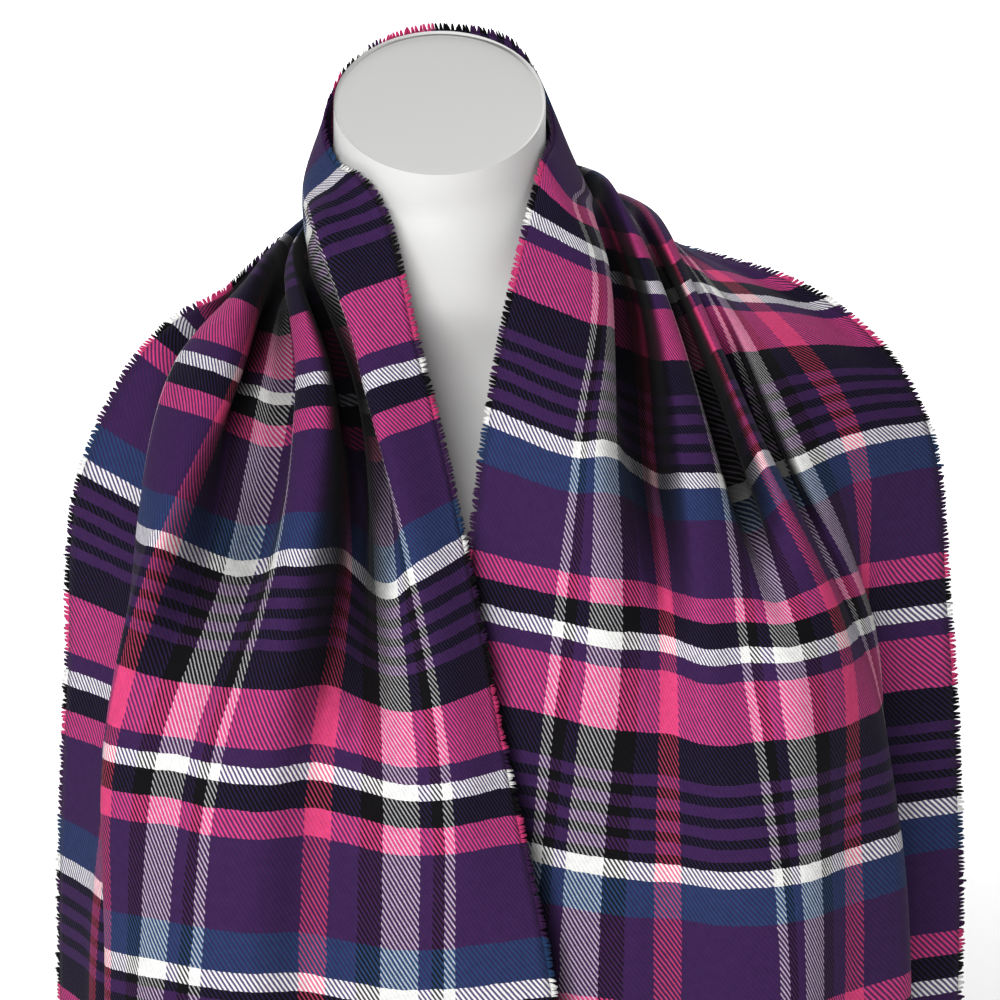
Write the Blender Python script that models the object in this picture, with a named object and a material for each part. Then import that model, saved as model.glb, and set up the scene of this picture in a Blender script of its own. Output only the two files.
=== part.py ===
"""A woven plaid scarf worn as a stole round the neck of a smooth, limbless dress form.

Metres, +Z up, the front faces -Y. The origin is the centre of the form's flat underside.
The scarf is one rectangle of cloth. It is described by warp lines, which run along its whole
length, and by stations, which are weft lines across it. The tables give the place of each warp
line at each station, in millimetres: across (x), forward (minus y) and height (z).
"""

import bmesh
import bpy
import numpy as np

MM = 0.001

# Cloth, in millimetres
WIDTH = 450.0
HALF_LENGTH_BELOW = 325.0
WALL = 1.6
SEAM_GAP = 0.4
FRINGE_GAP = 0.8

# Weft stations, in millimetres of cloth, counted from the left strand's lowest white band
LEFT_HEM = -HALF_LENGTH_BELOW
LEFT_BOTTOM = 0.0
LEFT_LOWER = 112.0
LEFT_MIDDLE = 236.0
LEFT_UPPER = 348.0
RIGHT_UPPER = 820.0
RIGHT_MIDDLE = 944.0
RIGHT_LOWER = 1056.0
RIGHT_BOTTOM = 1180.0
RIGHT_HEM = RIGHT_BOTTOM + HALF_LENGTH_BELOW

# Where the cloth is parted into stretches
LEFT_SEAM = 420.0
RIGHT_SEAM = 850.0

# Below the lowest band the cloth hangs straight, a little wider and with softer folds
HEM_SPREAD = 1.03
HEM_FOLD_DEPTH = 1.2
HEM_CENTRE_LEFT = -80.0
HEM_CENTRE_RIGHT = 150.0
HEM_FORWARD = 135.0
HANG = 0.998

# Steps of the mesh
STRAND_STEP = 37.0
NECK_STEP = 28.0
COLUMNS_PER_FOLD = 2
NECK_GUIDES = 7
SEAM_STEP = 12.0
COLUMN_BEYOND = 9.0
SHARP = 0.9

# Fringe, in millimetres
FRINGE_BACKING = 2.0
FRINGE_LENGTH = 5.0
FRINGE_WALL = 1.2
STRAND_LOCKS = 2
NECK_LOCKS = 1
END_CELLS = 2
LOCK_ROOT = 0.56
LOCK_TIP = 0.36

# Warp lines: name, distance from the inner edge, and where each one passes the nape
NAPE_COLUMNS = ("name", "warp", "nape_back", "nape_height")
NAPE = (
    ("inner_edge", 0, 69, 865),
    ("thin_white_1", 52, 72, 818),
    ("wide_white_1", 80, 75, 787),
    ("black_1", 104, 79, 775),
    ("pink_1", 126, 84, 782),
    ("ground_1", 159, 89, 790),
    ("thin_white_2", 188, 93, 779),
    ("wide_white_2", 216, 96, 765),
    ("black_2", 239, 100, 763),
    ("pink_2", 262, 104, 770),
    ("ground_2", 295, 109, 775),
    ("thin_white_3", 324, 113, 764),
    ("wide_white_3", 352, 117, 748),
    ("black_3", 385, 124, 738),
    ("ground_3", 418, 131, 746),
    ("outer_edge", 450, 136, 764),
)

# Left strand, as seen from the front: across, forward and height of each warp line
STRAND_COLUMNS = (
    "name",
    "shoulder_x", "shoulder_y", "shoulder_z",
    "upper_x", "upper_y", "upper_z",
    "middle_x", "middle_y", "middle_z",
    "lower_x", "lower_y",
    "bottom_x", "bottom_y",
)
LEFT = (
    ("inner_edge", -45, 43, 806, -10, 90, 712, 13, 135, 624, 37, 153, 60, 166),
    ("thin_white_1", -68, 34, 785, -42, 100, 702, -14, 154, 613, 5, 170, 6, 172),
    ("wide_white_1", -74, 18, 764, -44, 82, 686, -28, 146, 602, -20, 164, -21, 164),
    ("black_1", -71, 11, 741, -47, 62, 688, -41, 116, 600, -42, 150, -46, 152),
    ("pink_1", -77, 3, 745, -57, 68, 697, -51, 108, 609, -64, 144, -70, 148),
    ("ground_1", -81, -3, 757, -65, 92, 704, -71, 150, 622, -93, 164, -102, 166),
    ("thin_white_2", -84, -6, 747, -79, 82, 699, -87, 144, 619, -120, 160, -132, 160),
    ("wide_white_2", -86, -8, 725, -92, 60, 686, -108, 110, 604, -143, 144, -157, 146),
    ("black_2", -89, -12, 725, -104, 52, 692, -125, 100, 606, -162, 136, -170, 136),
    ("pink_2", -91, -13, 741, -109, 60, 698, -147, 120, 622, -179, 124, -183, 124),
    ("ground_2", -96, -16, 749, -126, 62, 705, -157, 114, 623, -179, 106, -179, 106),
    ("thin_white_3", -101, -17, 736, -143, 44, 705, -163, 96, 623, -164, 92, -161, 92),
    ("wide_white_3", -98, -18, 710, -131, 41, 695, -152, 80, 622, -152, 80, -158, 76),
    ("black_3", -105, -24, 699, -121, 28, 685, -150, 64, 623, -170, 62, -187, 56),
    ("ground_3", -114, -27, 708, -128, 13, 698, -164, 48, 625, -186, 46, -198, 40),
    ("outer_edge", -120, -28, 723, -146, 0, 715, -197, 24, 637, -208, 24, -215, 18),
)
LEFT_LOWER_HEIGHTS = (499, 515)
LEFT_BOTTOM_HEIGHTS = (380, 403)

RIGHT = (
    ("inner_edge", 59, 20, 812, 50, 46, 784, 28, 116, 691, 15, 128, 2, 122),
    ("thin_white_1", 73, 30, 790, 82, 56, 768, 74, 138, 679, 64, 148, 53, 142),
    ("wide_white_1", 82, 15, 785, 91, 46, 761, 89, 136, 679, 89, 154, 78, 150),
    ("black_1", 86, 3, 781, 97, 34, 751, 104, 112, 667, 108, 146, 102, 152),
    ("pink_1", 88, -5, 779, 104, 20, 742, 115, 98, 652, 123, 140, 124, 150),
    ("ground_1", 92, -10, 791, 114, 42, 744, 132, 124, 658, 144, 154, 154, 160),
    ("thin_white_2", 96, -14, 784, 122, 38, 742, 151, 118, 656, 164, 148, 183, 158),
    ("wide_white_2", 103, -16, 774, 127, 20, 735, 162, 92, 645, 188, 150, 201, 152),
    ("black_2", 107, -19, 770, 131, 18, 735, 167, 98, 652, 203, 140, 212, 140),
    ("pink_2", 112, -21, 774, 134, 32, 740, 173, 110, 665, 218, 122, 224, 126),
    ("ground_2", 119, -25, 769, 140, 22, 741, 183, 92, 661, 226, 102, 251, 100),
    ("thin_white_3", 124, -27, 756, 145, 17, 738, 188, 79, 653, 231, 86, 253, 82),
    ("wide_white_3", 129, -28, 752, 152, 20, 736, 195, 84, 656, 238, 66, 242, 66),
    ("black_3", 133, -32, 744, 161, 14, 731, 216, 64, 660, 234, 50, 238, 50),
    ("ground_3", 139, -36, 745, 186, 4, 727, 241, 46, 662, 244, 38, 254, 34),
    ("outer_edge", 145, -42, 740, 213, -4, 719, 269, 24, 660, 282, 20, 291, 14),
)
RIGHT_LOWER_HEIGHTS = (588, 556)
RIGHT_BOTTOM_HEIGHTS = (459, 437)

# Dress form: level sections from the flat underside to the neck cap, in millimetres
FORM_COLUMNS = ("height", "half_width", "front", "back", "centre_x", "squareness")
FORM = (
    (0, 150, 95, 100, 20, 2.3),
    (60, 160, 102, 108, 20, 2.3),
    (140, 166, 106, 112, 20, 2.3),
    (250, 152, 100, 102, 20, 2.3),
    (360, 126, 86, 86, 20, 2.3),
    (430, 120, 82, 80, 20, 2.3),
    (500, 132, 80, 84, 20, 2.3),
    (560, 144, 74, 90, 20, 2.3),
    (610, 154, 60, 94, 20, 2.3),
    (650, 160, 48, 96, 20, 2.3),
    (680, 142, 44, 92, 20, 2.3),
    (700, 114, 46, 86, 20, 2.3),
    (718, 88, 52, 80, 15, 2.2),
    (735, 73, 58, 74, 8, 2.2),
    (750, 65.4, 58.4, 68, 4, 2.1),
    (770, 62.6, 59.4, 64, 1, 2.0),
    (800, 59.0, 57.4, 61.6, 0, 2.0),
    (840, 58, 62, 62, 0, 2.0),
)
FORM_SIDES = 40
CAP_TILT = 0.44
TILT_FROM = 770.0
TILT_TO = 835.0

COLOURS = {
    "purple cloth": (0.055, 0.018, 0.100, 1.0),
    "fringe": (0.030, 0.012, 0.050, 1.0),
    "white form": (0.86, 0.86, 0.87, 1.0),
}


def rows_by_name(columns, table):
    """Read a table into one dictionary for each row."""
    return [dict(zip(columns, row)) for row in table]


def hermite(knots, values, at):
    """Smooth curve through values at knots, read at the given places."""
    knots = np.asarray(knots, float)
    values = np.asarray(values, float)
    at = np.asarray(at, float)
    slopes = np.empty_like(values)
    steps = np.diff(knots)[:, None]
    chords = np.diff(values, axis=0) / steps
    slopes[0] = chords[0]
    slopes[-1] = chords[-1]
    before = steps[:-1]
    after = steps[1:]
    slopes[1:-1] = (chords[:-1] * after + chords[1:] * before) / (before + after)
    span = np.clip(np.searchsorted(knots, at, side="right") - 1, 0, len(knots) - 2)
    width = (knots[span + 1] - knots[span])[:, None]
    t = (at - knots[span])[:, None] / width
    inside = np.clip(t, 0.0, 1.0)
    curve = (
        values[span] * (1 + 2 * inside) * (1 - inside) ** 2
        + slopes[span] * width * inside * (1 - inside) ** 2
        + values[span + 1] * inside**2 * (3 - 2 * inside)
        + slopes[span + 1] * width * inside**2 * (inside - 1)
    )
    beyond = (t - inside) * width
    end_slope = np.where(t < 0, slopes[span], slopes[span + 1])
    return curve + beyond * end_slope


def place(row, station):
    """A warp line's point at a station whose height the table gives."""
    return np.array([row[station + "_x"], -row[station + "_y"], row[station + "_z"]], float)


def low_place(row, station, heights, share):
    """A warp line's point at a station whose height runs evenly from inner to outer edge."""
    height = heights[0] + (heights[1] - heights[0]) * share
    return np.array([row[station + "_x"], -row[station + "_y"], height], float)


def hem_place(bottom, centre):
    """The point of the hem straight below a warp line's lowest station."""
    across = centre + (bottom[0] - centre) * HEM_SPREAD
    forward = HEM_FORWARD + (-bottom[1] - HEM_FORWARD) * HEM_FOLD_DEPTH
    return np.array([across, -forward, bottom[2] - HALF_LENGTH_BELOW * HANG])


def neck_places(left, nape, right):
    """Points round the back of the neck, turned about the neck's own axis."""
    points = []
    for first, last in ((left, nape), (nape, right)):
        turn_first = np.arctan2(first[1], first[0]) % (2 * np.pi)
        turn_last = np.arctan2(last[1], last[0]) % (2 * np.pi)
        if last is right and turn_last > np.pi:
            turn_last -= 2 * np.pi
        reach_first = np.hypot(first[0], first[1])
        reach_last = np.hypot(last[0], last[1])
        for step in range(1, NECK_GUIDES + 1):
            share = step / (NECK_GUIDES + 1)
            eased = share * share * (3 - 2 * share)
            turn = turn_first + (turn_last - turn_first) * share
            reach = reach_first + (reach_last - reach_first) * eased
            height = first[2] + (last[2] - first[2]) * eased
            points.append(np.array([reach * np.cos(turn), reach * np.sin(turn), height]))
        if last is nape:
            points.append(nape)
    return points


def warp_line(nape_row, left_row, right_row):
    """One warp line from hem to hem: cloth lengths and the points there."""
    share = nape_row["warp"] / WIDTH
    left_bottom = low_place(left_row, "bottom", LEFT_BOTTOM_HEIGHTS, share)
    right_bottom = low_place(right_row, "bottom", RIGHT_BOTTOM_HEIGHTS, share)
    left_side = [
        hem_place(left_bottom, HEM_CENTRE_LEFT),
        left_bottom,
        low_place(left_row, "lower", LEFT_LOWER_HEIGHTS, share),
        place(left_row, "middle"),
        place(left_row, "upper"),
        place(left_row, "shoulder"),
    ]
    right_side = [
        place(right_row, "shoulder"),
        place(right_row, "upper"),
        place(right_row, "middle"),
        low_place(right_row, "lower", RIGHT_LOWER_HEIGHTS, share),
        right_bottom,
        hem_place(right_bottom, HEM_CENTRE_RIGHT),
    ]
    nape = np.array([0.0, nape_row["nape_back"], nape_row["nape_height"]])
    neck = neck_places(left_side[-1], nape, right_side[0])
    loop = np.array([left_side[-2], left_side[-1], *neck, right_side[0], right_side[1]])
    steps = np.linalg.norm(np.diff(loop, axis=0), axis=1)
    along = np.concatenate([[0.0], np.cumsum(steps)]) / steps.sum()
    loop_lengths = LEFT_UPPER + along * (RIGHT_UPPER - LEFT_UPPER)
    lengths = [LEFT_HEM, LEFT_BOTTOM, LEFT_LOWER, LEFT_MIDDLE, *loop_lengths]
    lengths += [RIGHT_MIDDLE, RIGHT_LOWER, RIGHT_BOTTOM, RIGHT_HEM]
    points = [*left_side[:-2], *loop, *right_side[2:]]
    return lengths, points


def warp_lines():
    """Every warp line of the cloth, from the inner to the outer edge."""
    return [
        warp_line(*rows)
        for rows in zip(
            rows_by_name(NAPE_COLUMNS, NAPE),
            rows_by_name(STRAND_COLUMNS, LEFT),
            rows_by_name(STRAND_COLUMNS, RIGHT),
        )
    ]


def warp_places():
    """The warp lines' distances from the inner edge."""
    return [row["warp"] for row in rows_by_name(NAPE_COLUMNS, NAPE)]


def cloth_points(lengths, warps):
    """Points of the cloth at each length along it and distance across it, in millimetres."""
    knots = [hermite(along, points, lengths) for along, points in warp_lines()]
    knots = np.array(knots)
    return np.array([hermite(warp_places(), knots[:, i], warps) for i in range(len(lengths))])


def cloth_normals(lengths, warps):
    """Outward directions at the corners of the cloth's mesh, with the cells just beyond it."""
    rows = [lengths[0] - SEAM_STEP, *lengths, lengths[-1] + SEAM_STEP]
    columns = [warps[0] - COLUMN_BEYOND, *warps, warps[-1] + COLUMN_BEYOND]
    points = cloth_points(rows, columns)
    falling = points[1:, 1:] - points[:-1, :-1]
    rising = points[:-1, 1:] - points[1:, :-1]
    cells = np.cross(falling, rising)
    sums = cells[:-1, :-1] + cells[1:, :-1] + cells[:-1, 1:] + cells[1:, 1:]
    return sums / np.linalg.norm(sums, axis=2, keepdims=True)


def even_steps(first, last, step):
    """Evenly spaced values from first to last, about one step apart."""
    return np.linspace(first, last, max(2, int(round((last - first) / step)) + 1))


def across_steps():
    """Distances across the cloth at which its mesh has a column."""
    warps = warp_places()
    inner = [
        first + (last - first) * i / COLUMNS_PER_FOLD
        for first, last in zip(warps, warps[1:])
        for i in range(COLUMNS_PER_FOLD)
    ]
    return np.array([*inner, warps[-1]], float)


def make_material(name, roughness):
    """A plain Principled material."""
    material = bpy.data.materials.new(name)
    material.use_nodes = True
    shader = material.node_tree.nodes["Principled BSDF"]
    shader.inputs["Base Color"].default_value = COLOURS[name]
    shader.inputs["Roughness"].default_value = roughness
    shader.inputs["Metallic"].default_value = 0.0
    return material


def add_object(name, mesh, material, collection):
    """Put a mesh in the scene as a named object."""
    thing = bpy.data.objects.new(name, mesh)
    mesh.materials.append(material)
    collection.objects.link(thing)
    return thing


def wall_mesh(name, points, normals, faces, thickness):
    """A closed wall of even thickness on both sides of an open surface."""
    shape = bmesh.new()
    half = thickness / 2
    outer = [shape.verts.new((p + n * half) * MM) for p, n in zip(points, normals)]
    inner = [shape.verts.new((p - n * half) * MM) for p, n in zip(points, normals)]
    edges = set()
    for face in faces:
        shape.faces.new([outer[i] for i in face])
        shape.faces.new([inner[i] for i in (face[0], *reversed(face[1:]))])
        edges.update(zip(face, (*face[1:], face[0])))
    for first, last in sorted(edges):
        if (last, first) in edges:
            continue
        rim = (outer[last], outer[first], inner[first], inner[last])
        shape.faces.new(rim if first < last else (*rim[1:], rim[0]))
    mesh = bpy.data.meshes.new(name)
    shape.to_mesh(mesh)
    shape.free()
    mesh.shade_smooth()
    mesh.set_sharp_from_angle(angle=SHARP)
    return mesh


def grid_mesh(name, points, normals):
    """A wall through rows of points."""
    rows, columns = points.shape[:2]
    faces = [
        (i * columns + j, (i + 1) * columns + j, (i + 1) * columns + j + 1, i * columns + j + 1)
        for i in range(rows - 1)
        for j in range(columns - 1)
    ]
    return wall_mesh(name, points.reshape(-1, 3), normals.reshape(-1, 3), faces, WALL)


def comb_mesh(name, points, normals, locks, turned):
    """A backing strip with even locks along its cells, each narrowed towards its tip.

    Each row of points holds the root, the backing's far side and the tip of the fringe.
    """
    places = []
    facing = []
    faces = []
    row = np.concatenate([points, normals], axis=2)

    def add(values):
        places.append(values[:3])
        facing.append(values[3:])
        return len(places) - 1

    last_pair = (add(row[0, 0]), add(row[0, 1]))
    for first, last in zip(row, row[1:]):
        stops = []
        for lock in range(locks):
            start = (lock + (1 - LOCK_ROOT) / 2) / locks
            stops += [(start, False), (start + LOCK_ROOT / locks, True)]
        for share, closes in (*stops, (1.0, False)):
            here = first + (last - first) * share
            pair = (add(here[0]), add(here[1]))
            faces.append((last_pair[0], pair[0], pair[1], last_pair[1]))
            if closes:
                narrow = (LOCK_ROOT - LOCK_TIP) / 2 / locks
                near = first[2] + (last[2] - first[2]) * (share - LOCK_ROOT / locks + narrow)
                far = first[2] + (last[2] - first[2]) * (share - narrow)
                faces.append((last_pair[1], pair[1], add(far), add(near)))
            last_pair = pair
    if turned:
        faces = [(face[0], *reversed(face[1:])) for face in faces]
    return wall_mesh(name, places, facing, faces, FRINGE_WALL)


def fringe_places(edge, outward):
    """Root, backing and tip of a fringe beyond an edge of the cloth."""
    return edge + outward * (FRINGE_GAP + np.array([0.0, FRINGE_BACKING, FRINGE_LENGTH]))


def side_fringe(name, lengths, locks, edge, outward, material, collection):
    """Fringe along one long edge of the cloth, turned as the cloth's edge is."""
    points = cloth_points(lengths, fringe_places(edge, outward))
    column = -1 if outward > 0 else 0
    normals = cloth_normals(lengths, across_steps())[:, column]
    normals = np.repeat(normals[:, None], 3, axis=1)
    mesh = comb_mesh(name, points, normals, locks, outward < 0)
    add_object(name, mesh, material, collection)


def end_fringe(name, lengths, outward, material, collection):
    """Fringe along one end of the cloth, on every second column of its mesh."""
    row = -1 if outward > 0 else 0
    across = across_steps()
    points = cloth_points(fringe_places(lengths[row], outward), across).transpose(1, 0, 2)
    normals = cloth_normals(lengths, across)[row]
    normals = np.repeat(normals[:, None], 3, axis=1)
    mesh = comb_mesh(name, points[::END_CELLS], normals[::END_CELLS], 1, outward > 0)
    add_object(name, mesh, material, collection)


def stretch(name, lengths, material, collection):
    """One stretch of the scarf, from one parting to the next."""
    across = across_steps()
    mesh = grid_mesh(name, cloth_points(lengths, across), cloth_normals(lengths, across))
    add_object(name, mesh, material, collection)


def form_ring(row):
    """The points of one section of the dress form."""
    turns = np.arange(FORM_SIDES) * 2 * np.pi / FORM_SIDES
    power = 2.0 / row["squareness"]
    side = np.cos(turns)
    depth = np.sin(turns)
    across = row["centre_x"] + row["half_width"] * np.sign(side) * np.abs(side) ** power
    reach = np.where(depth > 0, row["back"], row["front"])
    back = reach * np.sign(depth) * np.abs(depth) ** power
    rise = np.clip((row["height"] - TILT_FROM) / (TILT_TO - TILT_FROM), 0.0, 1.0)
    height = row["height"] + back * CAP_TILT * rise * rise * (3 - 2 * rise)
    return np.stack([across, back, height], axis=1)


def dress_form(material, collection):
    """The smooth, limbless form: a loft between its level sections."""
    shape = bmesh.new()
    rings = []
    for row in rows_by_name(FORM_COLUMNS, FORM):
        rings.append([shape.verts.new(point * MM) for point in form_ring(row)])
    for low, high in zip(rings, rings[1:]):
        for i in range(FORM_SIDES):
            j = (i + 1) % FORM_SIDES
            shape.faces.new((low[i], low[j], high[j], high[i]))
    shape.faces.new(list(reversed(rings[0])))
    shape.faces.new(rings[-1])
    mesh = bpy.data.meshes.new("dress_form")
    shape.to_mesh(mesh)
    shape.free()
    mesh.shade_smooth()
    mesh.set_sharp_from_angle(angle=SHARP)
    return add_object("dress_form", mesh, material, collection)


def main():
    for thing in list(bpy.data.objects):
        bpy.data.objects.remove(thing, do_unlink=True)
    collection = bpy.data.collections.new("cashmere_scarf")
    bpy.context.scene.collection.children.link(collection)
    cloth = make_material("purple cloth", 0.95)
    fringe = make_material("fringe", 0.95)
    white = make_material("white form", 0.35)

    dress_form(white, collection)
    half_gap = SEAM_GAP / 2
    left_end = LEFT_SEAM - half_gap
    left = [*even_steps(LEFT_HEM, left_end - SEAM_STEP, STRAND_STEP), left_end]
    neck_start = LEFT_SEAM + half_gap
    neck_end = RIGHT_SEAM - half_gap
    neck = even_steps(neck_start + SEAM_STEP, neck_end - SEAM_STEP, NECK_STEP)
    neck = [neck_start, *neck, neck_end]
    right_start = RIGHT_SEAM + half_gap
    right = [right_start, *even_steps(right_start + SEAM_STEP, RIGHT_HEM, STRAND_STEP)]
    stretch("scarf_left_strand", left, cloth, collection)
    stretch("scarf_neck_stretch", neck, cloth, collection)
    stretch("scarf_right_strand", right, cloth, collection)
    parts = (
        ("left", left, STRAND_LOCKS),
        ("neck", neck, NECK_LOCKS),
        ("right", right, STRAND_LOCKS),
    )
    for side, lengths, locks in parts:
        side_fringe("fringe_inner_" + side, lengths, locks, 0.0, -1.0, fringe, collection)
        side_fringe("fringe_outer_" + side, lengths, locks, WIDTH, 1.0, fringe, collection)
    end_fringe("fringe_end_left", left, -1.0, fringe, collection)
    end_fringe("fringe_end_right", right, 1.0, fringe, collection)


if __name__ == "__main__":
    main()
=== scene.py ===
"""A brushed plaid scarf, worn loose round the neck of a smooth, limbless dress form.

Metres, +Z up, the front faces -Y. The cloth's tables are in millimetres.
"""

import bmesh
import bpy
import numpy as np
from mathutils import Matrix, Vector
from mathutils.bvhtree import BVHTree


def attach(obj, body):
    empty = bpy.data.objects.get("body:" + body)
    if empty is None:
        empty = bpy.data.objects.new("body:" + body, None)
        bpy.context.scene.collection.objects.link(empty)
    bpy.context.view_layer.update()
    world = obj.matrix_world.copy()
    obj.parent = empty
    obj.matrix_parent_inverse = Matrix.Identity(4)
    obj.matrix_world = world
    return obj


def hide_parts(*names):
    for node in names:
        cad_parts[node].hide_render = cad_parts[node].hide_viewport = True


bl_info = {
    "name": "Plaid scarf on a dress form",
    "version": (1, 0, 0),
    "blender": (4, 5, 0),
    "location": "View3D > Sidebar > Scarf",
    "description": "A draped plaid scarf with its fringe, and the form that wears it",
    "category": "Object",
}

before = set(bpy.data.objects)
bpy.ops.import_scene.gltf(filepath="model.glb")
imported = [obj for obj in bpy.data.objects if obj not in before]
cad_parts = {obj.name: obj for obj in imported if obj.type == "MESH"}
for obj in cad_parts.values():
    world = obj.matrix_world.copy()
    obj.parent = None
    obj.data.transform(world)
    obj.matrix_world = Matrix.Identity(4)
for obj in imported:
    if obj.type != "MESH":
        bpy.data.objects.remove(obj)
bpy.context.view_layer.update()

MM = 0.001
BODY = "root"
CLOTH_NODES = ("scarf_left_strand", "scarf_neck_stretch", "scarf_right_strand")
INNER_FRINGE_NODES = ("fringe_inner_left", "fringe_inner_neck", "fringe_inner_right")
OUTER_FRINGE_NODES = ("fringe_outer_left", "fringe_outer_neck", "fringe_outer_right")
END_FRINGE_NODES = ("fringe_end_left", "fringe_end_right")
FORM_NODE = "dress_form"

# Cloth, in millimetres
WIDTH = 450.0
LENGTH_BELOW = 325.0

# Weft stations, in millimetres of cloth, counted from the left strand's lowest white band
LEFT_HEM = -LENGTH_BELOW
LEFT_BOTTOM = 0.0
LEFT_LOWER = 112.0
LEFT_MIDDLE = 236.0
LEFT_UPPER = 348.0
RIGHT_UPPER = 820.0
RIGHT_MIDDLE = 944.0
RIGHT_LOWER = 1056.0
RIGHT_BOTTOM = 1180.0
RIGHT_HEM = RIGHT_BOTTOM + LENGTH_BELOW

# Below the lowest band the cloth hangs straight, a little wider and with softer folds
HEM_SPREAD = 1.03
HEM_FOLD_DEPTH = 1.2
HEM_CENTRE_LEFT = -80.0
HEM_CENTRE_RIGHT = 150.0
HEM_FORWARD = 135.0
HANG = 0.998
NECK_GUIDES = 7

# Warp lines: name, distance from the inner edge, and where each one passes the nape
NAPE_COLUMNS = ("name", "warp", "nape_back", "nape_height")
NAPE = (
    ("inner_edge", 0, 69, 865),
    ("thin_white_1", 52, 72, 818),
    ("wide_white_1", 80, 75, 787),
    ("black_1", 104, 79, 775),
    ("pink_1", 126, 84, 782),
    ("ground_1", 159, 89, 790),
    ("thin_white_2", 188, 93, 779),
    ("wide_white_2", 216, 96, 765),
    ("black_2", 239, 100, 763),
    ("pink_2", 262, 104, 770),
    ("ground_2", 295, 109, 775),
    ("thin_white_3", 324, 113, 764),
    ("wide_white_3", 352, 117, 748),
    ("black_3", 385, 124, 738),
    ("ground_3", 418, 131, 746),
    ("outer_edge", 450, 136, 764),
)

# The two strands, as seen from the front: across, forward and height of each warp line. The
# two lowest stations give their height at the inner and at the outer edge only.
STRAND_COLUMNS = (
    "name",
    "shoulder_x", "shoulder_y", "shoulder_z",
    "upper_x", "upper_y", "upper_z",
    "middle_x", "middle_y", "middle_z",
    "lower_x", "lower_y",
    "bottom_x", "bottom_y",
)
LEFT = (
    ("inner_edge", -45, 43, 806, -10, 90, 712, 13, 135, 624, 37, 153, 60, 166),
    ("thin_white_1", -68, 34, 785, -42, 100, 702, -14, 154, 613, 5, 170, 6, 172),
    ("wide_white_1", -74, 18, 764, -44, 82, 686, -28, 146, 602, -20, 164, -21, 164),
    ("black_1", -71, 11, 741, -47, 62, 688, -41, 116, 600, -42, 150, -46, 152),
    ("pink_1", -77, 3, 745, -57, 68, 697, -51, 108, 609, -64, 144, -70, 148),
    ("ground_1", -81, -3, 757, -65, 92, 704, -71, 150, 622, -93, 164, -102, 166),
    ("thin_white_2", -84, -6, 747, -79, 82, 699, -87, 144, 619, -120, 160, -132, 160),
    ("wide_white_2", -86, -8, 725, -92, 60, 686, -108, 110, 604, -143, 144, -157, 146),
    ("black_2", -89, -12, 725, -104, 52, 692, -125, 100, 606, -162, 136, -170, 136),
    ("pink_2", -91, -13, 741, -109, 60, 698, -147, 120, 622, -179, 124, -183, 124),
    ("ground_2", -96, -16, 749, -126, 62, 705, -157, 114, 623, -179, 106, -179, 106),
    ("thin_white_3", -101, -17, 736, -143, 44, 705, -163, 96, 623, -164, 92, -161, 92),
    ("wide_white_3", -98, -18, 710, -131, 41, 695, -152, 80, 622, -152, 80, -158, 76),
    ("black_3", -105, -24, 699, -121, 28, 685, -150, 64, 623, -170, 62, -187, 56),
    ("ground_3", -114, -27, 708, -128, 13, 698, -164, 48, 625, -186, 46, -198, 40),
    ("outer_edge", -120, -28, 723, -146, 0, 715, -197, 24, 637, -208, 24, -215, 18),
)
LEFT_LOWER_HEIGHTS = (499, 515)
LEFT_BOTTOM_HEIGHTS = (380, 403)

RIGHT = (
    ("inner_edge", 59, 20, 812, 50, 46, 784, 28, 116, 691, 15, 128, 2, 122),
    ("thin_white_1", 73, 30, 790, 82, 56, 768, 74, 138, 679, 64, 148, 53, 142),
    ("wide_white_1", 82, 15, 785, 91, 46, 761, 89, 136, 679, 89, 154, 78, 150),
    ("black_1", 86, 3, 781, 97, 34, 751, 104, 112, 667, 108, 146, 102, 152),
    ("pink_1", 88, -5, 779, 104, 20, 742, 115, 98, 652, 123, 140, 124, 150),
    ("ground_1", 92, -10, 791, 114, 42, 744, 132, 124, 658, 144, 154, 154, 160),
    ("thin_white_2", 96, -14, 784, 122, 38, 742, 151, 118, 656, 164, 148, 183, 158),
    ("wide_white_2", 103, -16, 774, 127, 20, 735, 162, 92, 645, 188, 150, 201, 152),
    ("black_2", 107, -19, 770, 131, 18, 735, 167, 98, 652, 203, 140, 212, 140),
    ("pink_2", 112, -21, 774, 134, 32, 740, 173, 110, 665, 218, 122, 224, 126),
    ("ground_2", 119, -25, 769, 140, 22, 741, 183, 92, 661, 226, 102, 251, 100),
    ("thin_white_3", 124, -27, 756, 145, 17, 738, 188, 79, 653, 231, 86, 253, 82),
    ("wide_white_3", 129, -28, 752, 152, 20, 736, 195, 84, 656, 238, 66, 242, 66),
    ("black_3", 133, -32, 744, 161, 14, 731, 216, 64, 660, 234, 50, 238, 50),
    ("ground_3", 139, -36, 745, 186, 4, 727, 241, 46, 662, 244, 38, 254, 34),
    ("outer_edge", 145, -42, 740, 213, -4, 719, 269, 24, 660, 282, 20, 291, 14),
)
RIGHT_LOWER_HEIGHTS = (588, 556)
RIGHT_BOTTOM_HEIGHTS = (459, 437)

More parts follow.
